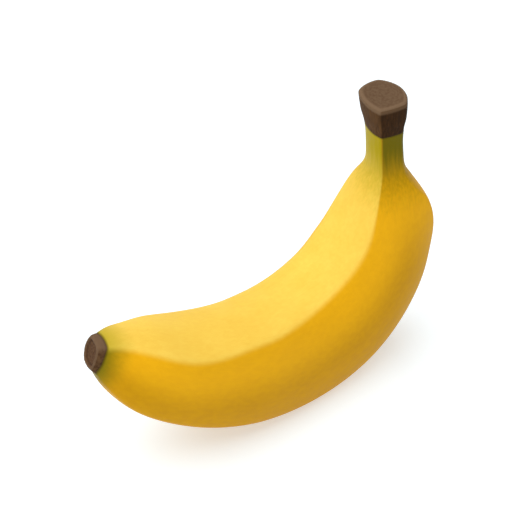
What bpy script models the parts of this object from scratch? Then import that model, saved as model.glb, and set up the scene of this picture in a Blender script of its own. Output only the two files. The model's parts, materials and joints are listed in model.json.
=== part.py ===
"""A banana, standing on its rounded back with both ends up, as one grown solid.

Metres, +Z up.  The fruit curves in the XZ plane: the blossom end is at -X, the stem at +X,
and the clear front ridge looks to -Y.  The origin is on the ground, under the middle of the
fruit's bounding box.

How it is made: rings of points are placed along a curved line through the middle of the
fruit.  Each ring is a rounded five-sided section, because a banana has five soft faces that
meet in ridges.  The rings are joined into a coarse cage, and a Subdivision Surface smooths it.
"""

import math

import bmesh
import bpy
import numpy as np
from mathutils import Matrix, Vector

# ---------------------------------------------------------------- driving sizes, in metres
BODY_LENGTH = 0.158      # blossom scar to the start of the neck, along the middle line
NECK_LENGTH = 0.0155     # start of the neck to the brown cap
CAP_HEIGHT = 0.012       # brown, dried cap at the cut end of the stem
BELLY_RADIUS = 0.0226    # middle line to a ridge, where the fruit is fattest
NECK_RADIUS = 0.0068     # the same at the thinnest place of the neck
CAP_RADIUS = 0.0086      # the same at the rim of the cap
CAP_BEVEL = 0.0011       # width of the worn edge round the cut face
SCAR_RADIUS = 0.0053     # outer edge of the blossom scar's rim
SCAR_RIM = 0.0012        # width of that rim
SCAR_DEPTH = 0.0006      # how far the scar is sunk inside its rim
SIDE_SWING = 0.0112      # how far the blossom end swings off the plane of the curve, to +Y
SWING_LENGTH = 0.060     # length of fruit over which it swings
REST_DEPTH = 0.0005      # how much the skin settles flat where it bears the weight
SOFTENING = 0.0020       # how far along the fruit its changes of thickness are evened out

# ---------------------------------------------------------------- shape, without a size
# Heading of the middle line in the XZ plane, in degrees above +X, by share of the length
HEADINGS = (
    (0.00, -24.0), (0.05, -37.5), (0.11, -32.0), (0.25, -20.5), (0.38, -7.0), (0.49, 12.0),
    (0.60, 45.0), (0.695, 71.0), (0.79, 91.0), (1.00, 98.0),
)
SWING_POWER = 1.64       # 1 would swing the blossom end off in a straight line
# Ridge radius of the body, as a share of the belly's, by share of the body's length
BODY_PROFILE = (
    (0.032, 0.403), (0.070, 0.562), (0.114, 0.696), (0.177, 0.791), (0.285, 0.891),
    (0.443, 0.975), (0.600, 1.006), (0.747, 0.948), (0.848, 0.825), (0.918, 0.656),
    (0.968, 0.499),
)
# Ridge radius of the neck, as a share of its thinnest, by share of the neck's length
NECK_PROFILE = ((0.00, 1.12), (0.35, 1.03), (0.75, 1.00), (1.00, 1.05))
# Angle of the front ridge round the middle line, in degrees from the back, by share of length
FRONT_RIDGE = ((0.00, 133.0), (0.13, 125.0), (0.27, 140.0), (0.54, 154.0), (0.81, 145.5), (1.00, 142.5))
# The other four ridges, on the body and on the stem
FAR_RIDGE = (-85.0, -60.0)
FAR_BACK_RIDGE = (-38.0, -7.0)
NEAR_BACK_RIDGE = (42.0, 70.0)
INNER_RIDGE = (224.0, 244.0)
# How far the stem's ridges stand out, where 1 is the ridge radius.  On the body all are 1.
# Order: far, far back, near back, front, inner.
STEM_RIDGE_HEIGHT = (0.95, 0.72, 1.13, 1.10, 1.00)
# How far behind the middle line each face's arc is struck, in ridge radii: 0 makes the
# section round, more makes the face flatter.  Order: far, back, side, inner, far inner.
BODY_FLATNESS = (0.8, 1.1, 0.8, 1.5, 0.8)
STEM_FLATNESS = (0.5, 1.0, 1.6, 1.3, 0.12)
BODY_SHARPNESS = 36.0    # higher makes crisper ridges
STEM_SHARPNESS = 60.0

# ---------------------------------------------------------------- how finely it is made
RIDGE_HOLD = 6.0         # degrees from a ridge to the cage point that holds it crisp
SWELL = 1.010            # smoothing pulls the skin in by about this much, so the cage is fuller
SMOOTH_LEVELS = 1

LENGTH = BODY_LENGTH + NECK_LENGTH + CAP_HEIGHT


def smooth_through(points, x):
    """Value at x of a smooth curve through the points, that never overshoots them."""
    px = np.array([p[0] for p in points], float)
    py = np.array([p[1] for p in points], float)
    step = np.diff(px)
    rise = np.diff(py) / step
    slope = np.zeros(len(px))
    slope[0] = rise[0]
    slope[-1] = rise[-1]
    for i in range(1, len(px) - 1):
        if rise[i - 1] * rise[i] > 0.0:
            left = 2.0 * step[i] + step[i - 1]
            right = step[i] + 2.0 * step[i - 1]
            slope[i] = (left + right) / (left / rise[i - 1] + right / rise[i])
    x = np.clip(x, px[0], px[-1])
    k = np.clip(np.searchsorted(px, x, side="right") - 1, 0, len(px) - 2)
    t = (x - px[k]) / step[k]
    return ((1.0 + 2.0 * t) * (1.0 - t) ** 2 * py[k] + t * (1.0 - t) ** 2 * step[k] * slope[k]
            + t * t * (3.0 - 2.0 * t) * py[k + 1] - t * t * (1.0 - t) * step[k] * slope[k + 1])


def middle_line(along):
    """Points of the fruit's middle line, by adding up short straight steps."""
    fine = np.linspace(0.0, LENGTH, 741)
    heading = np.radians(smooth_through(HEADINGS, fine / LENGTH))
    swing = SIDE_SWING * np.clip(1.0 - fine / SWING_LENGTH, 0.0, None) ** SWING_POWER
    sideways = np.gradient(swing, fine)
    forward = np.sqrt(1.0 - sideways ** 2)
    step_x = forward * np.cos(heading)
    step_z = forward * np.sin(heading)
    step = fine[1] - fine[0]
    x = np.concatenate(([0.0], np.cumsum((step_x[1:] + step_x[:-1]) * step / 2.0)))
    z = np.concatenate(([0.0], np.cumsum((step_z[1:] + step_z[:-1]) * step / 2.0)))
    return np.stack([np.interp(along, fine, v) for v in (x, swing, z)], axis=-1)


def ring_frame(along):
    """Centre of a ring, the way the fruit runs there, its back and its -Y side."""
    centre = middle_line(along)
    run = middle_line(along + 0.0002) - middle_line(along - 0.0002)
    if along < 0.0002:
        run = middle_line(0.0004) - middle_line(0.0)
    if along > LENGTH - 0.0002:
        run = middle_line(LENGTH) - middle_line(LENGTH - 0.0004)
    run = Vector(run).normalized()
    front = Vector((0.0, -1.0, 0.0))
    front = (front - front.dot(run) * run).normalized()
    back = run.cross(front)
    return Vector(centre), run, back, front


def drawn_radius(along):
    """Distance from the middle line to a ridge, through the sizes as they are written."""
    points = [(0.0, SCAR_RADIUS), (0.0020, SCAR_RADIUS + 0.0012)]
    points += [(share * BODY_LENGTH, part * BELLY_RADIUS) for share, part in BODY_PROFILE]
    points += [(BODY_LENGTH + share * NECK_LENGTH, part * NECK_RADIUS) for share, part in NECK_PROFILE]
    points += [(LENGTH - 0.5 * CAP_HEIGHT, 0.96 * CAP_RADIUS)]
    points += [(LENGTH - CAP_BEVEL, CAP_RADIUS), (LENGTH, CAP_RADIUS)]
    return smooth_through(points, along)


def ridge_radius(along):
    """The same, evened out over a short way to both sides, except at the scar and the cap."""
    from_ends = min(along - 0.003, LENGTH - 0.5 * CAP_HEIGHT - along) / 0.006
    spread = SOFTENING * min(max(from_ends, 0.0), 1.0)
    share = np.exp(-0.5 * np.arange(-2, 3) ** 2)
    near = drawn_radius(along + spread * np.arange(-2, 3))
    return float((share * near).sum() / share.sum())


def stem_share(along):
    """0 on the body, 1 on the neck and cap, with a smooth change over the shoulder."""
    t = (along - 0.80 * BODY_LENGTH) / (0.20 * BODY_LENGTH)
    t = min(max(t, 0.0), 1.0)
    return t * t * (3.0 - 2.0 * t)


def ridge_angles(along):
    """The five ridge angles, in degrees from the back, in order round the section."""
    stem = stem_share(along)
    front = float(smooth_through(FRONT_RIDGE, along / LENGTH))
    others = [a + (b - a) * stem for a, b in (FAR_RIDGE, FAR_BACK_RIDGE, NEAR_BACK_RIDGE, INNER_RIDGE)]
    return others[:3] + [front, others[3]]


def face_reach(angle, start, end, start_height, end_height, flat):
    """Distance to a face at an angle.  The face is an arc that runs from ridge to ridge."""
    first = Vector((start_height * math.cos(start), start_height * math.sin(start)))
    last = Vector((end_height * math.cos(end), end_height * math.sin(end)))
    chord = last - first
    outward = Vector((chord.y, -chord.x)).normalized()
    middle = (first + last) / 2.0
    struck_from = middle - (middle.dot(outward) + flat) * outward
    arc = (first - struck_from).length
    look = Vector((math.cos(angle), math.sin(angle)))
    across = look.x * struck_from.y - look.y * struck_from.x
    return look.dot(struck_from) + math.sqrt(arc ** 2 - across ** 2)


def section_radius(angle, along):
    """Shape of the section at an angle, where 1 is the distance to a sharp ridge."""
    ridges = [math.radians(value) for value in ridge_angles(along)]
    ridges.append(ridges[0] + 2.0 * math.pi)
    stem = stem_share(along)
    heights = [1.0 + (height - 1.0) * stem for height in STEM_RIDGE_HEIGHT]
    heights.append(heights[0])
    power = BODY_SHARPNESS + (STEM_SHARPNESS - BODY_SHARPNESS) * stem
    total = 0.0
    for i in range(5):
        flat = BODY_FLATNESS[i] + (STEM_FLATNESS[i] - BODY_FLATNESS[i]) * stem
        reach = face_reach(math.radians(angle), ridges[i], ridges[i + 1], heights[i], heights[i + 1], flat)
        total += reach ** -power
    return total ** (-1.0 / power)


def ring_angles(along):
    """Where the cage's points sit round a ring: each ridge, held by a point on either side."""
    ridges = ridge_angles(along)
    angles = []
    for i in range(5):
        start = ridges[i]
        end = ridges[i + 1] if i < 4 else ridges[0] + 360.0
        hold = min(RIDGE_HOLD, (end - start) / 4.0)
        inner_start = start + hold
        inner_end = end - hold
        angles += [start]
        angles += [inner_start + (inner_end - inner_start) * k / 3.0 for k in range(4)]
    return angles


def ring(along, radius=None, lift=0.0):
    """One ring of points; lift moves it along the fruit without changing its section."""
    centre, run, back, front = ring_frame(along)
    size = ridge_radius(along) if radius is None else radius
    points = []
    for angle in ring_angles(along):
        reach = SWELL * size * section_radius(angle, along)
        turn = math.radians(angle)
        points.append(centre + lift * run + reach * (math.cos(turn) * back + math.sin(turn) * front))
    return points


def cage_rings():
    """All rings from the blossom scar to the cut face of the stem."""
    rings = [ring(0.0, radius=SCAR_RADIUS - 1.4 * SCAR_RIM, lift=SCAR_DEPTH)]
    rings += [ring(0.0, radius=SCAR_RADIUS - SCAR_RIM, lift=0.7 * SCAR_DEPTH)]
    rings += [ring(0.0, radius=SCAR_RADIUS - 0.4 * SCAR_RIM)]
    blossom = [0.0004, 0.0018, 0.0036, 0.0065, 0.0110]
    body = [0.0160 + (BODY_LENGTH * 0.80 - 0.0160) * k / 15.0 for k in range(16)]
    shoulder_start = BODY_LENGTH * 0.80
    shoulder_end = BODY_LENGTH + 0.6 * NECK_LENGTH
    shoulder = [shoulder_start + (shoulder_end - shoulder_start) * k / 8.0 for k in range(1, 9)]
    cap_start = BODY_LENGTH + NECK_LENGTH
    cap = [cap_start, cap_start + 0.5 * CAP_HEIGHT, LENGTH - 2.0 * CAP_BEVEL, LENGTH - CAP_BEVEL]
    rings += [ring(s) for s in blossom + body + shoulder + cap]
    rings += [ring(LENGTH, radius=CAP_RADIUS - 0.35 * CAP_BEVEL, lift=-0.35 * CAP_BEVEL)]
    rings += [ring(LENGTH, radius=CAP_RADIUS - CAP_BEVEL)]
    rings += [ring(LENGTH, radius=0.55 * CAP_RADIUS)]
    return rings


def build_cage():
    """Join the rings into one closed cage with its faces pointing out."""
    bm = bmesh.new()
    loops = [[bm.verts.new(point) for point in points] for points in cage_rings()]
    for lower, upper in zip(loops, loops[1:]):
        for i in range(len(lower)):
            j = (i + 1) % len(lower)
            bm.faces.new((lower[i], lower[j], upper[j], upper[i]))
    bm.faces.new(loops[0])
    bm.faces.new(loops[-1])
    bmesh.ops.recalc_face_normals(bm, faces=bm.faces)
    if bm.calc_volume(signed=True) < 0.0:
        bmesh.ops.reverse_faces(bm, faces=bm.faces)
    return bm


def centre_of_mass(bm):
    """Middle of the solid, from the thin pyramids between its faces and the origin."""
    total = 0.0
    weighted = Vector((0.0, 0.0, 0.0))
    for loops in bm.calc_loop_triangles():
        a, b, c = (loop.vert.co for loop in loops)
        volume = a.dot(b.cross(c)) / 6.0
        total += volume
        weighted += volume * (a + b + c) / 4.0
    return weighted / total


def resting_turn(weight):
    """Turn in the plane of the curve that puts the weight over the back's nearest point to it."""
    nearest = None
    for share in range(250, 901, 2):
        centre, run, back, front = ring_frame(share / 1000.0 * BODY_LENGTH)
        reach = ridge_radius(share / 1000.0 * BODY_LENGTH)
        point = centre + reach * section_radius(0.0, share / 1000.0 * BODY_LENGTH) * back
        across = math.hypot(point.x - weight.x, point.z - weight.z)
        if nearest is None or across < nearest[0]:
            nearest = (across, point)
    down = nearest[1] - weight
    lean = math.atan2(down.x, -down.z)
    print("turned in its plane by", round(math.degrees(lean), 2), "degrees to stand balanced")
    return Matrix.Rotation(lean, 4, "Y")


def settle(bm):
    """Stand the fruit on the ground, flatten the skin it stands on, and centre it."""
    weight = centre_of_mass(bm)
    bmesh.ops.transform(bm, matrix=resting_turn(weight), verts=bm.verts)
    low = [min(v.co[i] for v in bm.verts) for i in range(3)]
    high = [max(v.co[i] for v in bm.verts) for i in range(3)]
    to_ground = Vector((-(low[0] + high[0]) / 2.0, -(low[1] + high[1]) / 2.0, -low[2] - REST_DEPTH))
    bmesh.ops.transform(bm, matrix=Matrix.Translation(to_ground), verts=bm.verts)
    for vert in bm.verts:
        vert.co.z = max(vert.co.z, 0.0)


def peel_material():
    material = bpy.data.materials.new("banana_peel")
    material.use_nodes = True
    shader = material.node_tree.nodes["Principled BSDF"]
    shader.inputs["Base Color"].default_value = (0.80, 0.46, 0.035, 1.0)
    shader.inputs["Roughness"].default_value = 0.45
    shader.inputs["Metallic"].default_value = 0.0
    return material


def main():
    for old in list(bpy.data.objects):
        bpy.data.objects.remove(old, do_unlink=True)
    collection = bpy.data.collections.new("banana_fruit")
    bpy.context.scene.collection.children.link(collection)

    cage = build_cage()
    mesh = bpy.data.meshes.new("banana")
    cage.to_mesh(mesh)
    cage.free()
    banana = bpy.data.objects.new("banana", mesh)
    collection.objects.link(banana)
    smooth = banana.modifiers.new("smooth skin", "SUBSURF")
    smooth.levels = SMOOTH_LEVELS
    smooth.render_levels = SMOOTH_LEVELS

    # The smoothed skin is read back, because the fruit settles on it and not on the cage
    skin = bmesh.new()
    skin.from_object(banana, bpy.context.evaluated_depsgraph_get())
    banana.modifiers.clear()
    settle(skin)
    skin.to_mesh(mesh)
    skin.free()
    mesh.shade_smooth()
    mesh.materials.append(peel_material())
    size = [round(1000.0 * (max(v.co[i] for v in mesh.vertices) - min(v.co[i] for v in mesh.vertices)), 1)
            for i in range(3)]
    print("banana:", len(mesh.polygons), "faces,", size, "mm")


main()
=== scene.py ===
# %% [markdown]
# # A ripe banana
#
# One piece of fruit, standing on its rounded back with both ends up.  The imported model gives
# the frame: metres, +Z up, the blossom end at -X, the stem at +X, and the clear front ridge
# towards -Y.  The solid there has the right size but a coarse, single-coloured skin, so this
# lesson grows a finer skin in the same place and hides the solid behind it.

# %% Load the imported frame
import json
import math

import bpy
import numpy as np
from mathutils import Matrix, Vector, noise
from mathutils.bvhtree import BVHTree

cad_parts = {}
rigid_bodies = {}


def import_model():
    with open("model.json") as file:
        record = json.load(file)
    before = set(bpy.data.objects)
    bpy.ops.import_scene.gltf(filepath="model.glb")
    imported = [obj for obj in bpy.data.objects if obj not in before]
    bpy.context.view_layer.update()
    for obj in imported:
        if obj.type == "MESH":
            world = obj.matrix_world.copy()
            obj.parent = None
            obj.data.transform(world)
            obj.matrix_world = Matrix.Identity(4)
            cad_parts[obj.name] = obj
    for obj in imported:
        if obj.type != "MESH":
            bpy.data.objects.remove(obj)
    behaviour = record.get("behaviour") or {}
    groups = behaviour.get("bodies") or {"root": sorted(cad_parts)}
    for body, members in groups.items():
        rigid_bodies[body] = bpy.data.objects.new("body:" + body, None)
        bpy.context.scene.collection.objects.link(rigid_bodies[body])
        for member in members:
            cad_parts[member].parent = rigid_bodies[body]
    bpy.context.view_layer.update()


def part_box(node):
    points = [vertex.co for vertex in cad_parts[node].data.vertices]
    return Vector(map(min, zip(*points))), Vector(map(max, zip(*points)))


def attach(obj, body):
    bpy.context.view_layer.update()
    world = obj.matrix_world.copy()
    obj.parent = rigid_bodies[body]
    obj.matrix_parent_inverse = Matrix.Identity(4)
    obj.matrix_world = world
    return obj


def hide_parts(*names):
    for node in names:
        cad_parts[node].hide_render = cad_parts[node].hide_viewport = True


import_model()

MM = 0.001
low_corner, high_corner = (np.array(corner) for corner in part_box("banana"))
print("solid banana, mm:", np.round((high_corner - low_corner) / MM, 1))

# %% [markdown]
# ## Driving sizes
#
# These are the sizes the solid was made to.  Everything below is worked out from them: the
# skin, where green turns to yellow, and how large a fibre or a pore is.

# %% Driving sizes, in metres
BODY_LENGTH = 158.0 * MM     # blossom scar to the start of the neck, along the middle line
NECK_LENGTH = 15.5 * MM
CAP_HEIGHT = 12.0 * MM       # brown, dried end of the stem
LENGTH = BODY_LENGTH + NECK_LENGTH + CAP_HEIGHT
BELLY_RADIUS = 22.6 * MM     # middle line to a ridge, where the fruit is fattest
NECK_RADIUS = 6.8 * MM       # the same at the thinnest place of the neck
CAP_RADIUS = 8.8 * MM        # the solid's is 0.2 less, before its surface is evened out
CAP_BEVEL = 1.1 * MM         # worn edge round the cut face
SCAR_RADIUS = 5.3 * MM       # outer edge of the blossom scar's rim
SCAR_RIM = 1.2 * MM
SCAR_DEPTH = 0.6 * MM
SIDE_SWING = 11.2 * MM       # how far the blossom end swings out of the plane of the curve
SWING_LENGTH = 60.0 * MM
SHOULDER_LEAN = 0.4 * MM     # to the front and right of the curve, just under the neck
REST_DEPTH = 0.5 * MM        # how much the skin settles flat under the fruit's weight
SOFTENING = 2.0 * MM         # how far along the fruit its changes of thickness are evened out
BALANCE_TURN = -1.07         # degrees about Y, from the curve as drawn to the fruit as it stands
TIP_BORDER = 1.8 * MM        # where the dried blossom end meets the peel
TIP_TILT = 0.45 * MM         # how much later it does so on the inner face than on the back
CAP_BORDER = LENGTH - CAP_HEIGHT
STEM_FROM = 0.80 * BODY_LENGTH   # from here to the neck the section changes to the stem's
print("middle line, mm:", round(LENGTH / MM, 1))

# %% [markdown]
# ## The curve through the middle
#
# A banana bends because its tip grows up towards the light after the bunch has hung down.
# The bend isn't an arc of a circle: it is nearly straight at the blossom end and tightest
# under the stem.  A curve object could be drawn by hand, but a list of headings is easier to
# read and to change, so the line is laid like a road: a heading at a few places, a smooth
# change between them, and short steps added up.

# %% A smooth curve through a few points
def smooth_through(points, x):
    """Value at x of a smooth curve through the points, that never overshoots them."""
    px, py = np.array(points, float).T
    step = np.diff(px)
    rise = np.diff(py) / step
    slope = np.concatenate(([rise[0]], np.zeros(len(px) - 2), [rise[-1]]))
    for i in range(1, len(px) - 1):
        if rise[i - 1] * rise[i] > 0.0:
            left = 2.0 * step[i] + step[i - 1]
            right = step[i] + 2.0 * step[i - 1]
            slope[i] = (left + right) / (left / rise[i - 1] + right / rise[i])
    x = np.clip(x, px[0], px[-1])
    k = np.clip(np.searchsorted(px, x, side="right") - 1, 0, len(px) - 2)
    t = (x - px[k]) / step[k]
    return ((1.0 + 2.0 * t) * (1.0 - t) ** 2 * py[k] + t * (1.0 - t) ** 2 * step[k] * slope[k]
            + t * t * (3.0 - 2.0 * t) * py[k + 1] - t * t * (1.0 - t) * step[k] * slope[k + 1])


def soft_step(x, start, end):
    """0 before start, 1 after end, and a smooth change between them."""
    t = np.clip((x - start) / (end - start), 0.0, 1.0)
    return t * t * (3.0 - 2.0 * t)


print("a quarter of the way through a soft step:", soft_step(0.25, 0.0, 1.0))

# %% The middle line and the directions round it
# Heading in the XZ plane, in degrees above +X, by share of the length
HEADINGS = (
    (0.00, -24.0), (0.05, -37.5), (0.11, -32.0), (0.25, -20.5), (0.38, -7.0), (0.49, 12.0),
    (0.60, 45.0), (0.695, 71.0), (0.79, 91.0), (1.00, 98.0),
)
SWING_POWER = 1.64       # 1 would swing the blossom end off in a straight line
ROAD_POINTS = 1485       # eight for each millimetre
road = np.linspace(0.0, LENGTH, ROAD_POINTS)
road_step = road[1] - road[0]
heading = np.radians(smooth_through(HEADINGS, road / LENGTH))
swing = SIDE_SWING * np.clip(1.0 - road / SWING_LENGTH, 0.0, None) ** SWING_POWER
sideways = np.gradient(swing, road)
forward = np.sqrt(1.0 - sideways ** 2)
run = np.stack([forward * np.cos(heading), sideways, forward * np.sin(heading)], axis=-1)
steps = (run[1:] + run[:-1]) * road_step / 2.0
middle = np.concatenate(([[0.0, 0.0, 0.0]], np.cumsum(steps, axis=0)))
middle[:, 1] = swing
# The shoulder leans a little to the front and right of the curve
LEAN_AT, LEAN_WIDTH = 0.98 * BODY_LENGTH, 9.0 * MM
LEAN_WAY = np.array([0.76, -0.65, 0.0])
lean = SHOULDER_LEAN * np.exp(-((road - LEAN_AT) / LEAN_WIDTH) ** 2)
middle += lean[:, None] * LEAN_WAY
front = np.array([0.0, -1.0, 0.0]) + run[:, 1:2] * run
front /= np.linalg.norm(front, axis=1, keepdims=True)
back = np.cross(run, front)
print("curve as drawn, mm:", np.round(np.ptp(middle, axis=0) / MM, 1))


def on_road(values, along):
    """Place, or direction, at a distance along the middle line."""
    return np.stack([np.interp(along, road, values[:, i]) for i in range(3)], axis=-1)


# %% [markdown]
# ## The section
#
# Cut a banana across and it is a rounded pentagon: five carpels leave five soft faces that
# meet in ridges.  A circle with bumps would put the ridges in but leave the faces round, so
# each face is its own flat arc between two ridges, and the five arcs are blended with a high
# power, which only rounds them where they meet.  Towards the stem the ridges get crisper.

# %% Ridges and how thick the fruit is
# Ridge radius of the body, as a share of the belly's, by share of the body's length
BODY_PROFILE = (
    (0.032, 0.403), (0.070, 0.562), (0.114, 0.696), (0.177, 0.791), (0.285, 0.891),
    (0.443, 0.975), (0.600, 1.006), (0.747, 0.948), (0.848, 0.812), (0.918, 0.650),
    (0.968, 0.485),
)
# Ridge radius of the neck, as a share of its thinnest, by share of the neck's length
NECK_PROFILE = ((0.00, 1.08), (0.35, 1.02), (0.75, 1.00), (1.00, 1.05))
# Angle of the front ridge round the middle line, in degrees from the back
FRONT_RIDGE = (
    (0.00, 133.0), (0.13, 125.0), (0.27, 140.0), (0.54, 154.0), (0.81, 145.5), (1.00, 142.5),
)
# The other four on the body and on the stem: far, far back, near back, inner
OTHER_RIDGES = ((-85.0, -60.0), (-38.0, -7.0), (42.0, 70.0), (224.0, 244.0))
STEM_RIDGE_HEIGHT = (0.95, 0.72, 1.13, 1.10, 1.00)   # far, far back, near back, front, inner
# How far behind the middle line each face's arc is struck: far, back, side, inner, far inner
BODY_FLATNESS = (0.8, 1.1, 0.8, 1.5, 0.8)
STEM_FLATNESS = (0.5, 1.0, 1.6, 1.3, 0.12)
BODY_SHARPNESS = 36.0
STEM_SHARPNESS = 60.0


def drawn_radius(along):
    """Distance from the middle line to a ridge, through the sizes as they are written."""
    points = [(0.0, SCAR_RADIUS), (2.0 * MM, SCAR_RADIUS + 1.2 * MM)]    # flares out at once
    points += [(share * BODY_LENGTH, part * BELLY_RADIUS) for share, part in BODY_PROFILE]
    points += [(BODY_LENGTH + share * NECK_LENGTH, part * NECK_RADIUS)
               for share, part in NECK_PROFILE]
    points += [(LENGTH - 0.5 * CAP_HEIGHT, 0.96 * CAP_RADIUS)]
    points += [(LENGTH - CAP_BEVEL, CAP_RADIUS), (LENGTH, CAP_RADIUS)]
    return smooth_through(points, along)


def ridge_radius(along):
    """The same, evened out over a short way to both sides, except at the scar and the cap."""
    from_ends = np.minimum(along - 3.0 * MM, LENGTH - 0.5 * CAP_HEIGHT - along) / (6.0 * MM)
    spread = SOFTENING * np.clip(from_ends, 0.0, 1.0)
    offsets = (-2, -1, 0, 1, 2)
    shares = np.exp(-0.5 * np.array(offsets) ** 2)
    radii = [share * drawn_radius(along + offset * spread)
             for offset, share in zip(offsets, shares)]
    return sum(radii) / shares.sum()


def ridge_angles(along):
    """The five ridge angles, in degrees from the back, in order round the section."""
    stem = soft_step(along, STEM_FROM, BODY_LENGTH)
    others = [body + (neck - body) * stem for body, neck in OTHER_RIDGES]
    front_ridge = smooth_through(FRONT_RIDGE, along / LENGTH)
    return np.stack(others[:3] + [front_ridge, others[3]], axis=-1)


print("fattest ridge, mm from the middle line:", round(ridge_radius(road).max() / MM, 2))


# %% One face, and the section made of five
def face_reach(angle, start, end, start_height, end_height, flat):
    """Distance to a face at an angle.  The face is an arc that runs from ridge to ridge."""
    first_x, first_y = start_height * np.cos(start), start_height * np.sin(start)
    last_x, last_y = end_height * np.cos(end), end_height * np.sin(end)
    out_x, out_y = last_y - first_y, first_x - last_x
    chord = np.hypot(out_x, out_y)
    out_x, out_y = out_x / chord, out_y / chord
    struck = (first_x + last_x) / 2.0 * out_x + (first_y + last_y) / 2.0 * out_y + flat
    from_x = (first_x + last_x) / 2.0 - struck * out_x
    from_y = (first_y + last_y) / 2.0 - struck * out_y
    arc = np.hypot(first_x - from_x, first_y - from_y)
    across = np.cos(angle) * from_y - np.sin(angle) * from_x
    return np.cos(angle) * from_x + np.sin(angle) * from_y + np.sqrt(arc ** 2 - across ** 2)


def section_radius(angle, along):
    """Shape of the section at an angle in radians, where 1 is the distance to a sharp ridge."""
    ridges = np.radians(ridge_angles(along))
    ridges = np.concatenate([ridges, ridges[..., :1] + 2.0 * math.pi], axis=-1)
    stem = soft_step(along, STEM_FROM, BODY_LENGTH)
    heights = [1.0 + (height - 1.0) * stem for height in STEM_RIDGE_HEIGHT + STEM_RIDGE_HEIGHT[:1]]
    power = BODY_SHARPNESS + (STEM_SHARPNESS - BODY_SHARPNESS) * stem
    total = 0.0
    for i in range(5):
        flat = BODY_FLATNESS[i] + (STEM_FLATNESS[i] - BODY_FLATNESS[i]) * stem
        reach = face_reach(angle, ridges[..., i], ridges[..., i + 1],
                           heights[i], heights[i + 1], flat)
        total = total + reach ** -power
    return total ** (-1.0 / power)


half_way = np.array([0.5 * BODY_LENGTH])
all_round = section_radius(np.radians(np.arange(360.0)), np.repeat(half_way, 360))
print("half way along, a face is", round(float(all_round.min() / all_round.max()), 3), "of a ridge")


# %% [markdown]
# ## A net of rows and threads
#
# The skin is a net.  Rows go round the fruit, and threads run from the middle of the blossom
# scar, out over its rim, along the whole fruit and in to the middle of the cut stem.  The
# rows are close together at both ends, where the detail is small, and wider apart on the
# smooth body; the threads crowd together at the ridges.  Two rows follow the wavy borders
# where dried brown tissue meets the peel, so each colour has its own faces there.

# %% Threads, crowded at the ridges
THREADS_PER_FACE = 44
CROWDING = 0.72          # 0 spaces the threads evenly, 1 puts them on top of each other
even = np.arange(THREADS_PER_FACE) / THREADS_PER_FACE
crowded = even - CROWDING * np.sin(2.0 * math.pi * even) / (2.0 * math.pi)


def thread_angles(along):
    """Angle of every thread, in radians, on rows at these distances along."""
    ridges = ridge_angles(along)
    ends = np.concatenate([ridges[..., 1:], ridges[..., :1] + 360.0], axis=-1)
    angles = ridges[..., None] + (ends - ridges)[..., None] * crowded
    return np.radians(angles.reshape(angles.shape[:-2] + (-1,)))


print("first threads of a face, as a share of its width:", crowded[:5].round(3))


# %% Rows, from the middle of the scar to the middle of the cut stem
def rows_between(start, end, spacing):
    """Evenly spaced distances from start up to, but not at, end."""
    return np.linspace(start, end, max(2, round(abs(end - start) / spacing)), endpoint=False)


# "meridian" is the way along a thread: below 0 it is on the scar, above LENGTH on the cut face
meridian = np.concatenate([
    rows_between(-SCAR_RADIUS + 0.1 * MM, 0.0, 0.30 * MM),
    rows_between(0.0, TIP_BORDER, 0.19 * MM),
    rows_between(TIP_BORDER, 12.0 * MM, 0.36 * MM),
    rows_between(12.0 * MM, STEM_FROM, 0.80 * MM),
    rows_between(STEM_FROM, CAP_BORDER, 0.46 * MM),
    rows_between(CAP_BORDER, LENGTH - CAP_BEVEL, 0.30 * MM),
    rows_between(LENGTH - CAP_BEVEL, LENGTH + CAP_BEVEL, 0.20 * MM),
    rows_between(LENGTH + CAP_BEVEL, LENGTH + CAP_RADIUS - 0.1 * MM, 0.32 * MM),
])
threads = 5 * THREADS_PER_FACE
tip_row = int(np.argmin(np.abs(meridian - TIP_BORDER)))
cap_row = int(np.argmin(np.abs(meridian - CAP_BORDER)))
cut_row = int(np.argmin(np.abs(meridian - LENGTH)))
print(len(meridian), "rows of", threads, "threads")

# %% [markdown]
# ## Both ends
#
# The blossom has dropped off and left an oval scar: a sunk floor inside a raised, lighter
# rim.  The stem was cut from the bunch: a flat face with a worn edge.  Both are turned
# profiles, so a row there has a radius and a lift along the fruit instead of a distance.

# %% Radius and lift of every row
RIM_RISE, RIM_WIDTH = 0.12 * MM, 0.5 * MM      # the worn top of the scar's rim
LIP_ROUND, LIP_WIDTH = 0.35 * MM, 0.55 * MM    # how far the scar's outer edge is rounded off
CUT_HOLLOW = 0.25 * MM                         # how far the cut face has sunk in the middle


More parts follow.
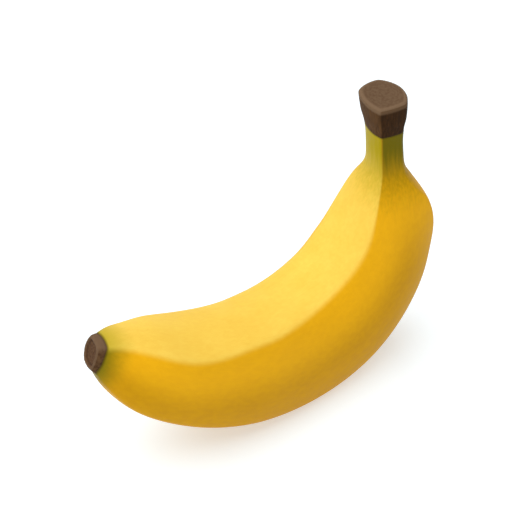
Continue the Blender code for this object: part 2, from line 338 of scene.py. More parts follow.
def turned_ends(meridian):
    """For every row: distance along, ridge radius, and lift along the fruit."""
    along = np.clip(meridian, 0.0, LENGTH)
    radius = ridge_radius(along)
    lift = np.zeros(len(meridian))
    scar = meridian < 0.0
    radius[scar] = SCAR_RADIUS + meridian[scar]
    floor_edge, rim_top = SCAR_RADIUS - 1.15 * SCAR_RIM, SCAR_RADIUS - 0.30 * SCAR_RIM
    lift[scar] = SCAR_DEPTH * (1.0 - soft_step(radius[scar], floor_edge, rim_top))
    lift[scar] -= RIM_RISE * np.exp(-((radius[scar] - rim_top) / RIM_WIDTH) ** 2)
    lift += LIP_ROUND * np.clip(1.0 - np.abs(meridian) / LIP_WIDTH, 0.0, None) ** 2
    cut = meridian > LENGTH - CAP_BEVEL
    # The worn edge is a quarter of a circle; the face inside it is a little hollow
    turn = np.clip((meridian[cut] - LENGTH + CAP_BEVEL) / (2.0 * CAP_BEVEL), 0.0, 1.0)
    turn = turn * math.pi / 2.0
    inward = CAP_BEVEL * (1.0 - np.cos(turn))
    inward = inward + np.clip(meridian[cut] - LENGTH - CAP_BEVEL, 0.0, None)
    along[cut] = LENGTH
    radius[cut] = CAP_RADIUS - inward
    lift[cut] = CAP_BEVEL * (np.sin(turn) - 1.0)
    lift[cut] -= CUT_HOLLOW * soft_step(inward, CAP_BEVEL, CAP_RADIUS)
    return along, radius, lift


along_row, radius_row, lift_row = turned_ends(meridian)
print("scar floor lies", round(lift_row[0] / MM, 2), "mm under its edge")


# %% The wavy borders
def wavy(angle, coarse, seed):
    """A wandering number between about -1 and 1 that closes on itself round the fruit."""
    around = np.stack([np.cos(angle), np.sin(angle)], axis=-1) * coarse
    return np.array([noise.noise((x, y, seed)) + 0.5 * noise.noise((2.3 * x, 2.3 * y, seed + 9.0))
                     for x, y in around.reshape(-1, 2)]).reshape(angle.shape)


angle = thread_angles(along_row)
along = np.repeat(along_row[:, None], threads, axis=1)
radius = np.repeat(radius_row[:, None], threads, axis=1)
TIP_WANDER, CAP_WANDER = 0.10 * MM, 0.14 * MM
TILT_TOWARDS = math.radians(150.0)       # about where the inner face begins
TIP_GIVE, CAP_GIVE = 1.7 * MM, 2.5 * MM  # how far to each side the rows follow a border
tip_wave = TIP_WANDER * wavy(angle[tip_row], 1.6, 3.0)
tip_wave += TIP_TILT * np.cos(angle[tip_row] - TILT_TOWARDS)
cap_wave = CAP_WANDER * wavy(angle[cap_row], 1.8, 17.0)
near_tip = np.clip(1.0 - np.abs(meridian - TIP_BORDER) / TIP_GIVE, 0.0, None)[:, None]
near_cap = np.clip(1.0 - np.abs(meridian - CAP_BORDER) / CAP_GIVE, 0.0, None)[:, None]
shift = tip_wave * near_tip + cap_wave * near_cap
body = (meridian > 0.0) & (meridian < LENGTH - CAP_BEVEL)
along[body] += shift[body]
radius[body] = ridge_radius(along[body])
print("borders wander by, mm:", round(np.ptp(tip_wave) / MM, 2), round(np.ptp(cap_wave) / MM, 2))

# %% The net in space, as drawn
reach = radius * section_radius(angle, along)
to_back, to_front = np.cos(angle)[..., None], np.sin(angle)[..., None]
outward = to_back * on_road(back, along) + to_front * on_road(front, along)
net = on_road(middle, along) + lift_row[:, None, None] * on_road(run, along)
net = net + reach[..., None] * outward


def net_normals(net):
    """Direction out of the skin at every point of the net."""
    round_way = np.roll(net, -1, axis=1) - np.roll(net, 1, axis=1)
    long_way = np.gradient(net, axis=0)
    normal = np.cross(long_way, round_way)
    normal /= np.linalg.norm(normal, axis=-1, keepdims=True) + 1e-12
    return normal * np.sign(np.sum(normal[len(net) // 2] * outward[len(net) // 2]))


normals = net_normals(net)
print("net of", len(net) * threads, "points")

# %% [markdown]
# ## Small relief
#
# Ripe peel is smooth, but not perfect: long, low swells run along it, and over the neck the
# strands under the skin show as fine cords.  The dried ends are another thing: they have
# shrunk, so the stem's sides are pleated lengthways and its cut face shows the ends of the
# strands, and the scar is corky.  A bump in a material would be lost at the outline, so all
# relief of more than about a twentieth of a millimetre is in the net itself.

# %% Relief of the skin
def grain(points, size, stretch=1.0, seed=0.0):
    """Wandering relief with lumps of this size, drawn out along the fruit by stretch."""
    scaled = points / size
    scaled[..., 0] /= stretch
    return np.array([noise.noise((x + seed, y - seed, z)) for x, y, z in scaled.reshape(-1, 3)]
                    ).reshape(points.shape[:-1])


# %% Where each kind of relief is, and how high
# Each point of the net as (along, across back, across front): a flat-out map of the fruit
way = np.repeat(meridian[:, None], threads, axis=1)
unrolled = np.stack([way, reach * np.cos(angle), reach * np.sin(angle)], axis=-1)
m = meridian[:, None]
on_peel = soft_step(m, TIP_BORDER, TIP_BORDER + 6.0 * MM)
on_peel = on_peel * (1.0 - soft_step(m, CAP_BORDER - 2.0 * MM, CAP_BORDER))
on_neck = soft_step(m, 0.88 * BODY_LENGTH, BODY_LENGTH + 0.3 * NECK_LENGTH) * (m < CAP_BORDER)
on_cap = soft_step(m, CAP_BORDER, CAP_BORDER + 1.0 * MM)
on_cap = on_cap * (1.0 - soft_step(m, LENGTH - CAP_BEVEL, LENGTH))
on_cut = soft_step(m, LENGTH, LENGTH + 2.0 * CAP_BEVEL)
on_scar = 1.0 - soft_step(m, 0.0, TIP_BORDER)
RELIEF = (               # place, height, size of the lumps, how drawn out they are, seed
    (on_peel, 0.10 * MM, 13.0 * MM, 2.5, 1.0),    # long, low swells
    (on_neck, 0.05 * MM, 1.3 * MM, 9.0, 5.0),     # cords under the skin
    (on_cap, 0.10 * MM, 1.5 * MM, 5.0, 7.0),      # pleats
    (on_cut, 0.07 * MM, 0.9 * MM, 1.0, 11.0),     # ends of the strands
    (on_scar, 0.08 * MM, 1.1 * MM, 1.0, 13.0),    # cork
)
relief = sum(place * high * grain(unrolled, size, stretch, seed)
             for place, high, size, stretch, seed in RELIEF)
# The dried tissue ends in a tiny groove against the living peel
GROOVE_DEPTH, GROOVE_WIDTH = 0.10 * MM, 0.28 * MM
for border in (TIP_BORDER, CAP_BORDER):
    relief -= GROOVE_DEPTH * np.exp(-((m - border) / GROOVE_WIDTH) ** 2)
net = net + relief[..., None] * normals
print("relief, mm:", np.round([relief.min() / MM, relief.max() / MM], 2))

# %% Stand it on its back, where the solid stands
turn = np.array(Matrix.Rotation(math.radians(BALANCE_TURN), 3, "Y"))
net = net @ turn.T
ends = np.stack([net[0].mean(axis=0), net[-1].mean(axis=0)])
flat = np.concatenate([net.reshape(-1, 3), ends])
low, high = flat.min(axis=0), flat.max(axis=0)
to_place = np.array([(low_corner[0] + high_corner[0] - low[0] - high[0]) / 2.0,
                     (low_corner[1] + high_corner[1] - low[1] - high[1]) / 2.0,
                     low_corner[2] - low[2] - REST_DEPTH])
flat = flat + to_place
flat[:, 2] = np.maximum(flat[:, 2], low_corner[2])
print("skin, mm:", np.round(np.ptp(flat, axis=0) / MM, 2), "moved by", np.round(to_place / MM, 2))

# %% [markdown]
# ## From net to mesh
#
# Four neighbouring points make a face, and a fan of triangles closes each end.  The mesh
# also carries what the finishes need to know about each point: how far along it is, how
# near a ridge, and whether it lies on the inner face, which the light catches.

# %% Faces, and which finish each has
rows = len(net)
row, thread = np.meshgrid(np.arange(rows - 1), np.arange(threads), indexing="ij")
after = (thread + 1) % threads
quads = np.stack([row * threads + thread, (row + 1) * threads + thread,
                  (row + 1) * threads + after, row * threads + after], axis=-1).reshape(-1, 4)
scar_middle, cut_middle = rows * threads, rows * threads + 1
faces = [tuple(quad) for quad in quads.tolist()]
faces += [(scar_middle, i, (i + 1) % threads) for i in range(threads)]
last = (rows - 1) * threads
faces += [(cut_middle, last + (i + 1) % threads, last + i) for i in range(threads)]
finish = np.full(rows - 1, 0)                  # 0 is the living peel
finish[:tip_row] = 1                           # 1 the dried blossom end
finish[cap_row:] = 2                           # 2 the dried sides of the stem
finish[cut_row:] = 3                           # 3 its cut face
finish = np.concatenate([np.repeat(finish, threads), np.full(threads, 1), np.full(threads, 3)])

mesh = bpy.data.meshes.new("banana_skin")
mesh.from_pydata(flat.tolist(), [], faces)
mesh.polygons.foreach_set("material_index", finish.astype(np.int32))
mesh.validate()
mesh.shade_smooth()
banana = bpy.data.objects.new("banana_skin", mesh)
bpy.context.scene.collection.objects.link(banana)
print(len(mesh.polygons), "faces,", sum(len(p.vertices) - 2 for p in mesh.polygons), "triangles")


# %% What each point knows about its place
def note_on_points(name, values, scar_value, cut_value):
    """Write one number on each point of the skin, for the finishes to read."""
    column = mesh.attributes.new(name, "FLOAT", "POINT")
    values = np.concatenate([values.ravel(), [scar_value, cut_value]])
    column.data.foreach_set("value", values.astype(np.float32))


ridges = np.radians(ridge_angles(along))
gap = np.abs((angle[..., None] - ridges + math.pi) % (2.0 * math.pi) - math.pi)
ridge_mm = gap.min(axis=-1) * reach / MM
front_mm = (angle - ridges[..., 3]) * reach / MM
inner_mm = (ridges[..., 4] - angle) * reach / MM
full_turn = 2.0 * math.pi
from_inner = np.minimum((ridges[..., 3] - angle) % full_turn, (angle - ridges[..., 4]) % full_turn)
from_inner = np.where((angle > ridges[..., 3]) & (angle < ridges[..., 4]), 0.0, from_inner)
soft_mm = 0.5 + 2.0 * (1.0 - soft_step(along, STEM_FROM, BODY_LENGTH))   # crisper on the stem
inner_face = soft_step(front_mm, -0.7 * soft_mm, 0.3 * soft_mm)
inner_face = inner_face * soft_step(inner_mm, -0.5 * soft_mm, 0.5 * soft_mm)
map_mm = unrolled / MM
first_mm, last_mm = -SCAR_RADIUS / MM, (LENGTH + CAP_RADIUS) / MM
note_on_points("along_mm", map_mm[..., 0], first_mm, last_mm)
note_on_points("ridge_mm", ridge_mm, 0.0, 0.0)
note_on_points("inner_face", inner_face, 0.5, 0.5)
note_on_points("from_inner_deg", np.degrees(from_inner), 0.0, 0.0)
map_mm = np.concatenate([map_mm.reshape(-1, 3), [(first_mm, 0.0, 0.0), (last_mm, 0.0, 0.0)]])
column = mesh.attributes.new("unrolled_mm", "FLOAT_VECTOR", "POINT")
column.data.foreach_set("vector", map_mm.astype(np.float32).ravel())
known = [column.name for column in mesh.attributes]
print("points hold:", [name for name in known if name.endswith(("_mm", "_deg", "_face"))])

# %% How near the new skin is to the solid
skin_tree = BVHTree.FromPolygons([v.co for v in mesh.vertices], [p.vertices for p in mesh.polygons])
solid = next(thing for thing in bpy.data.objects
             if thing.type == "MESH" and thing.name.startswith("banana") and thing != banana)
gaps = [skin_tree.find_nearest(solid.matrix_world @ v.co)[3] / MM for v in solid.data.vertices]
print("solid to skin, mm: mean", round(float(np.mean(gaps)), 3), "most", round(max(gaps), 2))


# %% [markdown]
# ## Helpers for the finishes
#
# Colours are written as sRGB hex, the way a colour picker shows them, and turned to the
# linear numbers that the renderer works in.  One function adds a node with its settings and
# links, so that a finish reads as a recipe, from top to bottom.

# %% Colour and node helpers
def linear(hex_colour):
    """An sRGB hex colour as the renderer's linear red, green, blue and 1."""
    parts = [int(hex_colour[i:i + 2], 16) / 255.0 for i in (1, 3, 5)]
    parts = [c / 12.92 if c <= 0.04045 else ((c + 0.055) / 1.055) ** 2.4 for c in parts]
    return tuple(parts) + (1.0,)


def add_node(tree, kind, settings=None, out=0, **inputs):
    """Add a node and give one of its outputs.  An input is a number, a colour or an output;
    it goes by its name, or as _2 by its place."""
    node = tree.nodes.new("ShaderNode" + kind)
    for name, value in (settings or {}).items():
        setattr(node, name, value)
    for name, value in inputs.items():
        socket = node.inputs[int(name[1:]) if name[0] == "_" else name]
        if isinstance(value, bpy.types.NodeSocket):
            tree.links.new(value, socket)
        else:
            socket.default_value = value
    return node.outputs[out]


# Settings that come up again and again.  A range goes from 0 at _1 to 1 at _2, or from _3 to
# _4 if they are given.  A mix has its share at _0 and its colours at _6 and _7; output 2.
SMOOTH = {"interpolation_type": "SMOOTHSTEP"}
COLOUR = {"data_type": "RGBA"}
TIMES, PLUS, MOST = {"operation": "MULTIPLY"}, {"operation": "ADD"}, {"operation": "MAXIMUM"}
# What the skin's points know
ALONG, INNER = {"attribute_name": "along_mm"}, {"attribute_name": "inner_face"}
RIDGE, FROM_INNER = {"attribute_name": "ridge_mm"}, {"attribute_name": "from_inner_deg"}
UNROLLED = {"attribute_name": "unrolled_mm"}


def new_finish(name, roughness, ior, gloss):
    """A material with its shader, ready for a recipe."""
    material = bpy.data.materials.new(name)
    material.use_nodes = True
    shader = material.node_tree.nodes["Principled BSDF"]
    shader.inputs["Roughness"].default_value = roughness
    shader.inputs["IOR"].default_value = ior
    shader.inputs["Specular IOR Level"].default_value = gloss
    return material, material.node_tree, shader


print("mid grey #808080 is", round(linear("#808080")[0], 3), "of white's light")

# %% [markdown]
# ## Patterns that have grown
#
# Clouds and strands in a fruit follow the way it grew.  Noise laid in plain space would cut
# straight through the curve, like a saw through a bent branch.  So the noise is laid on the
# fruit's own map, in millimetres, where "along" bends with the fruit.  Its lumps have a real
# size, and it can be drawn out along the fruit into strands.

# %% Natural grain, laid on the fruit's own map
def grown(tree, lump, stretch=1.0, detail=3.0, low=0.30, high=0.70):
    """A pattern from 0 to 1 with lumps of this size, drawn out along the fruit by stretch."""
    place = add_node(tree, "Attribute", UNROLLED, "Vector")
    scale = MM / lump
    place = add_node(tree, "Mapping", Vector=place, Scale=(scale / stretch, scale, scale))
    cloud = add_node(tree, "TexNoise", Vector=place, Scale=1.0, Detail=detail)
    return add_node(tree, "MapRange", SMOOTH, Value=cloud, _1=low, _2=high)


print("grain is laid on the map in", UNROLLED["attribute_name"])

# %% [markdown]
# ## Ripe banana peel
#
# Peel is a living skin with a thin, waxy cuticle.  Wax that has grown in fine platelets is
# satin: it gives the eye a broad, soft brightness and no mirror image.  The yellow is
# carotene that shows once the green has gone.  The inner face, which the light catches, is
# painted paler: painted light and a painted sheen.  The faces round towards the back are
# painted deeper: painted shade.  An image could carry this, but every pattern here follows
# the fruit's own map (how far along, which side), so it is grown from noise on that map and
# stays sharp close to.

# %% Ripe peel: yellow, satin, painted paler on the lit inner face, painted deeper at the back
WAX_IOR = 1.42
SMOOTHEST, ROUGHEST = 0.40, 0.50                 # where the wax lies thick, and where thin
peel, tree, shader = new_finish("ripe_peel_waxy", (SMOOTHEST + ROUGHEST) / 2.0, WAX_IOR, 0.06)
along_mm = add_node(tree, "Attribute", ALONG, "Fac")
inner = add_node(tree, "Attribute", INNER, "Fac")
ridge = add_node(tree, "Attribute", RIDGE, "Fac")
from_inner = add_node(tree, "Attribute", FROM_INNER, "Fac")

CLOUD, PATCH, STRAND = 1.6 * MM, 9.0 * MM, 0.35 * MM       # strands are coarser than real ones
mottle = grown(tree, CLOUD, 1.6)                           # small clouds in the colour
ripening = grown(tree, PATCH, 2.0, low=0.35, high=0.65)    # slow changes of ripeness
strands = grown(tree, STRAND, 22.0, 2.0, 0.35, 0.65)       # fibres just under the skin

# The inner colour is painted light and a painted sheen on the face the light catches; the outer
# colour is painted shade on the faces round towards the back.
side = add_node(tree, "Mix", COLOUR, 2, _0=mottle, _6=linear("#edad13"), _7=linear("#f1b214"))
outer = add_node(tree, "Mix", COLOUR, 2, _0=mottle, _6=linear("#c88f06"), _7=linear("#ce9607"))
inside = add_node(tree, "Mix", COLOUR, 2, _0=mottle, _6=linear("#f2c953"), _7=linear("#f4ce57"))
DEEPER_FROM, DEEPER_FULL = 16.0, 66.0            # degrees round from the inner face
round_back = add_node(tree, "MapRange", SMOOTH, Value=from_inner,
                      _1=DEEPER_FROM, _2=DEEPER_FULL)
below_neck = add_node(tree, "MapRange", SMOOTH, Value=along_mm,
                      _1=0.98 * BODY_LENGTH / MM, _2=0.75 * BODY_LENGTH / MM)
deeper = add_node(tree, "Math", TIMES, _0=round_back, _1=below_neck)
yellow = add_node(tree, "Mix", COLOUR, 2, _0=deeper, _6=side, _7=outer)
yellow = add_node(tree, "Mix", COLOUR, 2, _0=inner, _6=yellow, _7=inside)
PATCH_SHARE, STRAND_SHARE = 0.12, 0.07           # how much of their own colour they add
faint = add_node(tree, "Math", TIMES, _0=ripening, _1=PATCH_SHARE)
yellow = add_node(tree, "Mix", COLOUR, 2, _0=faint, _6=yellow, _7=linear("#e1a50d"))
faint = add_node(tree, "Math", TIMES, _0=strands, _1=STRAND_SHARE)
yellow = add_node(tree, "Mix", COLOUR, 2, _0=faint, _6=yellow, _7=linear("#d4960d"))
print("on the yellow, mm: clouds", CLOUD / MM, "patches", PATCH / MM, "strands", STRAND / MM)

# %% [markdown]
# The green holds on longest at both ends.  It is painted darker on the sides, as painted shade,
# and lighter on the inner face, which the light catches, as painted light.
# It doesn't stop at a line.  Chlorophyll goes first between the strands, so the change is
# streaky, between two and three centimetres long at the stem and less than one at the tip.
# A smooth range on the distance along the fruit does it, once that distance is made uneven
# by a few millimetres from strand to strand.

# %% Ripe peel: green towards both ends
STREAK, UNEVEN_MM = 0.8 * MM, 3.0                # how wide, and how far they reach
TIP_GREEN, TIP_SHARE = 8.0 * MM, 0.15            # reach of the green there, share of the streaks
streaks = grown(tree, STREAK, 14.0, 3.0, 0.0, 1.0)
streaks = add_node(tree, "MapRange", Value=streaks, _3=-UNEVEN_MM, _4=UNEVEN_MM)
uneven_stem = add_node(tree, "Math", PLUS, _0=along_mm, _1=streaks)
starts, full = 0.905 * BODY_LENGTH / MM, (CAP_BORDER - 4.0 * MM) / MM
green_stem = add_node(tree, "MapRange", SMOOTH, Value=uneven_stem, _1=starts, _2=full)
short_streaks = add_node(tree, "Math", TIMES, _0=streaks, _1=TIP_SHARE)
uneven_tip = add_node(tree, "Math", PLUS, _0=along_mm, _1=short_streaks)
green_tip = add_node(tree, "MapRange", SMOOTH, Value=uneven_tip,
                     _1=(TIP_BORDER + TIP_GREEN) / MM, _2=(TIP_BORDER - 1.0 * MM) / MM)
# Each green has a shaded copy for the sides and a lit copy for the inner face: painted shade and
# painted light.
stem_green = add_node(tree, "Mix", COLOUR, 2, _0=inner,
                      _6=linear("#6c6002"), _7=linear("#a89504"))
tip_green = add_node(tree, "Mix", COLOUR, 2, _0=inner,
                     _6=linear("#756b0a"), _7=linear("#b5a02a"))
skin = add_node(tree, "Mix", COLOUR, 2, _0=green_stem, _6=yellow, _7=stem_green)
skin = add_node(tree, "Mix", COLOUR, 2, _0=green_tip, _6=skin, _7=tip_green)
print("green from", round(starts), "mm along, full at", round(full), "mm")

# %% [markdown]
# A thin orange-brown line runs along the ridges of the neck, and the last part of a
# millimetre of peel dries dark against the brown ends.  Pores, clouds and strands are too
# low to change the outline, so they are bump.  The brightness breaks up on them, and the skin
# stops looking like plastic.  Real pores are a few hundredths of a millimetre wide and
# strands about a tenth: they couldn't be seen from here, so the pores are drawn 0.8 mm apart
# and the strands 0.35 mm wide, as coarse as they need to be to show.

# %% Ripe peel: orange-brown ridge line, dark borders, pores
RIDGE_TINT_EDGE_MM, RIDGE_TINT_FULL_MM, RIDGE_TINT_SHARE = 0.55, 0.05, 0.45    # from the ridge, and how strong
on_ridge = add_node(tree, "MapRange", SMOOTH, Value=ridge,
                    _1=RIDGE_TINT_EDGE_MM, _2=RIDGE_TINT_FULL_MM, _4=RIDGE_TINT_SHARE)
on_stem = add_node(tree, "MapRange", SMOOTH, Value=along_mm,
                   _1=0.95 * BODY_LENGTH / MM, _2=(CAP_BORDER - 3.0 * MM) / MM)
ridge_tint = add_node(tree, "Math", TIMES, _0=on_ridge, _1=on_stem)
skin = add_node(tree, "Mix", COLOUR, 2, _0=ridge_tint, _6=skin, _7=linear("#a0701c"))
at_tip = add_node(tree, "MapRange", SMOOTH, Value=along_mm,
                  _1=(TIP_BORDER + 0.9 * MM) / MM, _2=TIP_BORDER / MM, _4=0.75)
at_cap = add_node(tree, "MapRange", SMOOTH, Value=along_mm,
                  _1=(CAP_BORDER - 0.7 * MM) / MM, _2=CAP_BORDER / MM, _4=0.75)
dried = add_node(tree, "Math", MOST, _0=at_tip, _1=at_cap)
skin = add_node(tree, "Mix", COLOUR, 2, _0=dried, _6=skin, _7=linear("#43330f"))
tree.links.new(skin, shader.inputs["Base Color"])

map_place = add_node(tree, "Attribute", UNROLLED, "Vector")
PORE_MM, PEEL_RELIEF = 0.8, 0.010 * MM       # from pore to pore, coarser than on a real one
pores = add_node(tree, "TexVoronoi", Vector=map_place, Scale=1.0 / PORE_MM)
low_pores = add_node(tree, "MapRange", SMOOTH, Value=pores, _2=0.35, _4=0.35)
low_clouds = add_node(tree, "Math", TIMES, _0=mottle, _1=0.65)
low_strands = add_node(tree, "Math", TIMES, _0=strands, _1=0.35)
height = add_node(tree, "Math", PLUS, _0=low_pores, _1=low_clouds)
height = add_node(tree, "Math", PLUS, _0=height, _1=low_strands)
bumped = add_node(tree, "Bump", Strength=1.0, Distance=PEEL_RELIEF, Height=height)
tree.links.new(bumped, shader.inputs["Normal"])
waxy = add_node(tree, "MapRange", Value=mottle, _3=SMOOTHEST, _4=ROUGHEST)
tree.links.new(waxy, shader.inputs["Roughness"])
print(peel.name, len(tree.nodes), "nodes")

# %% [markdown]
# ## The dried blossom end
#
# Where the flower dropped off, the tissue has died back to a thin layer of brown cork.  Cork
# is a foam of dead cells, so it is dull and scatters nearly all light.  Its raised rim carries
# a painted highlight, the foot of the rim a painted shade, and the inner side, which the light
# catches, is painted lighter as painted light.  So the colour follows the place on the scar: a
# plain noise would hide the shape that was built above.

# %% Dried blossom end, dull cork
DRY_IOR = 1.45
blossom, tree, shader = new_finish("dried_blossom_cork", 0.80, DRY_IOR, 0.12)
along_mm = add_node(tree, "Attribute", ALONG, "Fac")
inner = add_node(tree, "Attribute", INNER, "Fac")
cork = grown(tree, 0.9 * MM, 1.0, 4.0)
# A lighter brown, for the painted highlight on the rim and the painted light on the inner side.
highlight_brown = linear("#6e5640")
side = add_node(tree, "Mix", COLOUR, 2, _0=cork, _6=linear("#492f1a"), _7=linear("#62462b"))
# The inner side is painted lighter: painted light.
lit = add_node(tree, "Math", TIMES, _0=inner, _1=0.85)
side = add_node(tree, "Mix", COLOUR, 2, _0=lit, _6=side, _7=highlight_brown)
face = add_node(tree, "Mix", COLOUR, 2, _0=cork, _6=linear("#4d321d"), _7=linear("#61442b"))
FACE_STARTS_MM, FACE_FULL_MM = -0.3, -0.9        # along a thread, below 0 on the scar
on_face = add_node(tree, "MapRange", SMOOTH, Value=along_mm,
                   _1=FACE_STARTS_MM, _2=FACE_FULL_MM)
brown = add_node(tree, "Mix", COLOUR, 2, _0=on_face, _6=side, _7=face)
print("the scar's face begins", -FACE_STARTS_MM, "mm in from its edge")

# %% Dried blossom end: painted highlight on the rim, painted shade at its foot, dark border
# Painted highlight on the raised rim.
rim_in = add_node(tree, "MapRange", SMOOTH, Value=along_mm,
                  _1=-1.0 * SCAR_RIM / MM, _2=-0.5 * SCAR_RIM / MM, _4=0.7)
rim_out = add_node(tree, "MapRange", SMOOTH, Value=along_mm, _1=0.5, _2=0.0)
rim_highlight = add_node(tree, "Math", TIMES, _0=rim_in, _1=rim_out)
brown = add_node(tree, "Mix", COLOUR, 2, _0=rim_highlight, _6=brown, _7=highlight_brown)
# Painted shade at the foot of the rim, where the scar's floor sinks.
foot_in = add_node(tree, "MapRange", SMOOTH, Value=along_mm,
                   _1=-1.9 * SCAR_RIM / MM, _2=-1.2 * SCAR_RIM / MM, _4=0.45)
foot_out = add_node(tree, "MapRange", SMOOTH, Value=along_mm,
                    _1=-0.8 * SCAR_RIM / MM, _2=-1.2 * SCAR_RIM / MM)
foot_shade = add_node(tree, "Math", TIMES, _0=foot_in, _1=foot_out)
brown = add_node(tree, "Mix", COLOUR, 2, _0=foot_shade, _6=brown, _7=linear("#33231a"))
at_border = add_node(tree, "MapRange", SMOOTH, Value=along_mm,
                     _1=(TIP_BORDER - 0.5 * MM) / MM, _2=TIP_BORDER / MM, _4=0.45)
brown = add_node(tree, "Mix", COLOUR, 2, _0=at_border, _6=brown, _7=linear("#3b2a18"))
tree.links.new(brown, shader.inputs["Base Color"])
CORK_RELIEF = 0.05 * MM
bumped = add_node(tree, "Bump", Strength=1.0, Distance=CORK_RELIEF, Height=cork)
tree.links.new(bumped, shader.inputs["Normal"])
print(blossom.name, len(tree.nodes), "nodes")

# %% [markdown]
# ## The dried sides of the stem
#
# The cut stem dries from its end.  The green flesh shrinks round its strands, turns brown
# and creases lengthways, like thin bark: matt, with dark lines that run down it.  The
# pleats are shape, made above, and here they only get lighter and darker cords.  The sides
# away from the inner face are painted darker as painted shade, the inner face lighter as
# painted light, and a lighter band by the cut is a painted highlight.

# %% Dried stem, matt bark
stem, tree, shader = new_finish("dried_stem_bark", 0.78, DRY_IOR, 0.12)
along_mm = add_node(tree, "Attribute", ALONG, "Fac")
inner = add_node(tree, "Attribute", INNER, "Fac")
bark = grown(tree, 0.5 * MM, 9.0, 4.0)
# Lit and shaded copies of the bark: lighter on the inner face as painted light, darker on the other
# sides as painted shade.
pale = add_node(tree, "Mix", COLOUR, 2, _0=bark, _6=linear("#452d16"), _7=linear("#573b20"))
dark = add_node(tree, "Mix", COLOUR, 2, _0=bark, _6=linear("#2e1a06"), _7=linear("#3e250d"))
brown = add_node(tree, "Mix", COLOUR, 2, _0=inner, _6=dark, _7=pale)
# A lighter band below the cut is a painted highlight, again with a lit copy on the inner face and a
# shaded one elsewhere.
edge_colour = add_node(tree, "Mix", COLOUR, 2, _0=inner,
                       _6=linear("#654c35"), _7=linear("#735b44"))
edge_highlight = add_node(tree, "MapRange", SMOOTH, Value=along_mm,
                _1=(LENGTH - 1.9 * CAP_BEVEL) / MM, _2=(LENGTH - 0.9 * CAP_BEVEL) / MM, _4=0.85)
brown = add_node(tree, "Mix", COLOUR, 2, _0=edge_highlight, _6=brown, _7=edge_colour)
at_border = add_node(tree, "MapRange", SMOOTH, Value=along_mm,
                     _1=(CAP_BORDER + 0.8 * MM) / MM, _2=CAP_BORDER / MM, _4=0.5)
brown = add_node(tree, "Mix", COLOUR, 2, _0=at_border, _6=brown, _7=linear("#2a1c0e"))
tree.links.new(brown, shader.inputs["Base Color"])
BARK_RELIEF = 0.04 * MM
bumped = add_node(tree, "Bump", Strength=1.0, Distance=BARK_RELIEF, Height=bark)
tree.links.new(bumped, shader.inputs["Normal"])
print(stem.name, len(tree.nodes), "nodes")

# %% [markdown]
# ## The cut face
#
# A knife went through here, so the face is nearly flat.  Dried pith is spongy and quite
# dull, with the ends of the strands as fine dots.  Its rounded edge is painted the lightest
# part of the stem, as a painted highlight.

# %% Cut stem, dry pith
cut, tree, shader = new_finish("cut_stem_pith", 0.85, DRY_IOR, 0.20)
along_mm = add_node(tree, "Attribute", ALONG, "Fac")
map_place = add_node(tree, "Attribute", UNROLLED, "Vector")
pith = grown(tree, 1.1 * MM, 1.0, 4.0)
brown = add_node(tree, "Mix", COLOUR, 2, _0=pith, _6=linear("#5d4530"), _7=linear("#67503a"))
STRAND_END_MM = 0.8                          # from one strand's end to the next
strand_ends = add_node(tree, "TexVoronoi", Vector=map_place, Scale=1.0 / STRAND_END_MM)
dots = add_node(tree, "MapRange", SMOOTH, Value=strand_ends, _1=0.30, _2=0.10, _4=0.16)
brown = add_node(tree, "Mix", COLOUR, 2, _0=dots, _6=brown, _7=linear("#4a3422"))
# A lighter ring at the rounded edge is a painted highlight.
edge_highlight = add_node(tree, "MapRange", SMOOTH, Value=along_mm,
                _1=(LENGTH + 1.7 * CAP_BEVEL) / MM, _2=(LENGTH + 0.9 * CAP_BEVEL) / MM, _4=0.9)
brown = add_node(tree, "Mix", COLOUR, 2, _0=edge_highlight, _6=brown, _7=linear("#735b44"))
tree.links.new(brown, shader.inputs["Base Color"])
PITH_RELIEF = 0.025 * MM
bumped = add_node(tree, "Bump", Strength=1.0, Distance=PITH_RELIEF, Height=pith)
tree.links.new(bumped, shader.inputs["Normal"])
print(cut.name, len(tree.nodes), "nodes")

# %% The finishes, in the order that the faces number them
for material in (peel, blossom, stem, cut):
    mesh.materials.append(material)
print("finishes:", [material.name for material in mesh.materials])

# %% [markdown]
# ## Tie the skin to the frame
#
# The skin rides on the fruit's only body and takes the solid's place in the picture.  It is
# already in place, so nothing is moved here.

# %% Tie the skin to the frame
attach(banana, "root")
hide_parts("banana")
print(banana.name, "rides on root and replaces the solid")

# %% [markdown]
# ## Floor
#
# The fruit stands on a sheet of white paper, lit until it is pure white.  Real paper glows a
# little blue under studio lamps, because of its brightener.  That tint can't be seen in the
# overexposed white, but in the shadow it evens out the yellow light that the peel throws.
# Part of the paper's brightness is its own emission, so that the shadow stays faint.

# %% Floor, white paper
FLOOR_SIDE = 6.0
floor_mesh = bpy.data.meshes.new("studio_floor")
half = FLOOR_SIDE / 2.0
corners = [(-half, -half, 0.0), (half, -half, 0.0), (half, half, 0.0), (-half, half, 0.0)]
floor_mesh.from_pydata(corners, [], [(0, 1, 2, 3)])
floor = bpy.data.objects.new("studio_floor", floor_mesh)
bpy.context.scene.collection.objects.link(floor)
PAPER_IOR = 1.45
paper, tree, shader = new_finish("white_paper", 0.9, PAPER_IOR, 0.0)
shader.inputs["Base Color"].default_value = linear("#d1dce2")
shader.inputs["Emission Color"].default_value = linear("#ffffff")
PAPER_GLOW = 0.47
shader.inputs["Emission Strength"].default_value = PAPER_GLOW
floor_mesh.materials.append(paper)
print("floor", FLOOR_SIDE, "m wide")

# %% [markdown]
# ## Light
#
# A room with pale walls fills the shadows: it is bright near the horizon and greyer above.
# One large softbox hangs high over the blossom end and a little behind.  It catches the
# inner face along its whole length and leaves the near side to the light from the floor,
# which is what makes the front ridge so clear.  A small lamp would do the same with a hard
# shadow, so the softbox is wider than the fruit is long by ten times.

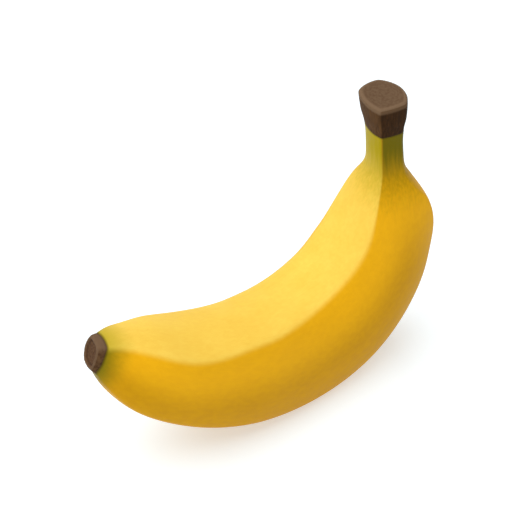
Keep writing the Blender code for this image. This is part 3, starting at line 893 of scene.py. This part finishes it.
# %% Room
world = bpy.data.worlds.new("studio")
bpy.context.scene.world = world
world.use_nodes = True
tree = world.node_tree
direction = add_node(tree, "TexCoord", None, "Generated")
height = add_node(tree, "SeparateXYZ", None, "Z", Vector=direction)
HORIZON_LIGHT, CEILING_LIGHT = 0.95, 0.30
room = add_node(tree, "MapRange", SMOOTH, Value=height, _1=0.02, _2=0.25,
                _3=HORIZON_LIGHT, _4=CEILING_LIGHT)
tree.links.new(room, tree.nodes["Background"].inputs["Strength"])
tree.nodes["Background"].inputs["Color"].default_value = linear("#ffffff")
print("room brightness:", HORIZON_LIGHT, "at the horizon,", CEILING_LIGHT, "overhead")


# %% Directions and the softbox
def direction_to(azimuth, elevation):
    """Unit vector; azimuth 0 is towards -Y and 90 towards +X, in degrees."""
    a, e = math.radians(azimuth), math.radians(elevation)
    return Vector((math.sin(a) * math.cos(e), -math.cos(a) * math.cos(e), math.sin(e)))


KEY_AZIMUTH, KEY_ELEVATION, KEY_DISTANCE = -116.0, 72.0, 1.0
KEY_SIDE, KEY_WATTS = 1.4, 14.8
KEY_AIM = (0.0, 0.0, 0.04)               # the middle of the fruit
key_data = bpy.data.lights.new("key_softbox", "AREA")
key_data.energy, key_data.size = KEY_WATTS, KEY_SIDE
key = bpy.data.objects.new("key_softbox", key_data)
away = direction_to(KEY_AZIMUTH, KEY_ELEVATION)
key.location = Vector(KEY_AIM) + KEY_DISTANCE * away
key.rotation_mode = "QUATERNION"
key.rotation_quaternion = away.to_track_quat("Z", "Y")
bpy.context.scene.collection.objects.link(key)
print("softbox of", KEY_SIDE, "m, at", [round(v, 2) for v in key.location])

# %% [markdown]
# ## Camera
#
# A portrait lens, a little over a third of a metre away, keeps the ends in proportion.  The
# view was chosen on the curve as drawn, before the fruit was turned to stand, so the camera
# is placed there and then turned and moved with it.

# %% Camera
AZIMUTH, ELEVATION = -40.5, 38.0
DISTANCE = 374.8 * MM
LENS_MM, SENSOR_MM = 85.0, 36.0
LOOK_AT = Vector((55.84, 0.13, 14.94)) * MM    # under the curve, 56 mm along from the blossom end
camera_data = bpy.data.cameras.new("camera")
camera_data.lens, camera_data.sensor_width = LENS_MM, SENSOR_MM
camera_data.clip_start, camera_data.clip_end = 0.01, 20.0
camera = bpy.data.objects.new("camera", camera_data)
away = direction_to(AZIMUTH, ELEVATION)
level = away.to_track_quat("Z", "Y").to_matrix().to_4x4()
as_drawn = Matrix.Translation(LOOK_AT + DISTANCE * away) @ level
stand = Matrix.Translation(Vector(to_place)) @ Matrix.Rotation(math.radians(BALANCE_TURN), 4, "Y")
camera.matrix_world = stand @ as_drawn
bpy.context.scene.collection.objects.link(camera)
bpy.context.scene.camera = camera
bpy.context.scene.view_settings.view_transform = "Standard"
print("camera at, mm:", np.round(np.array(camera.matrix_world.translation) / MM, 1))
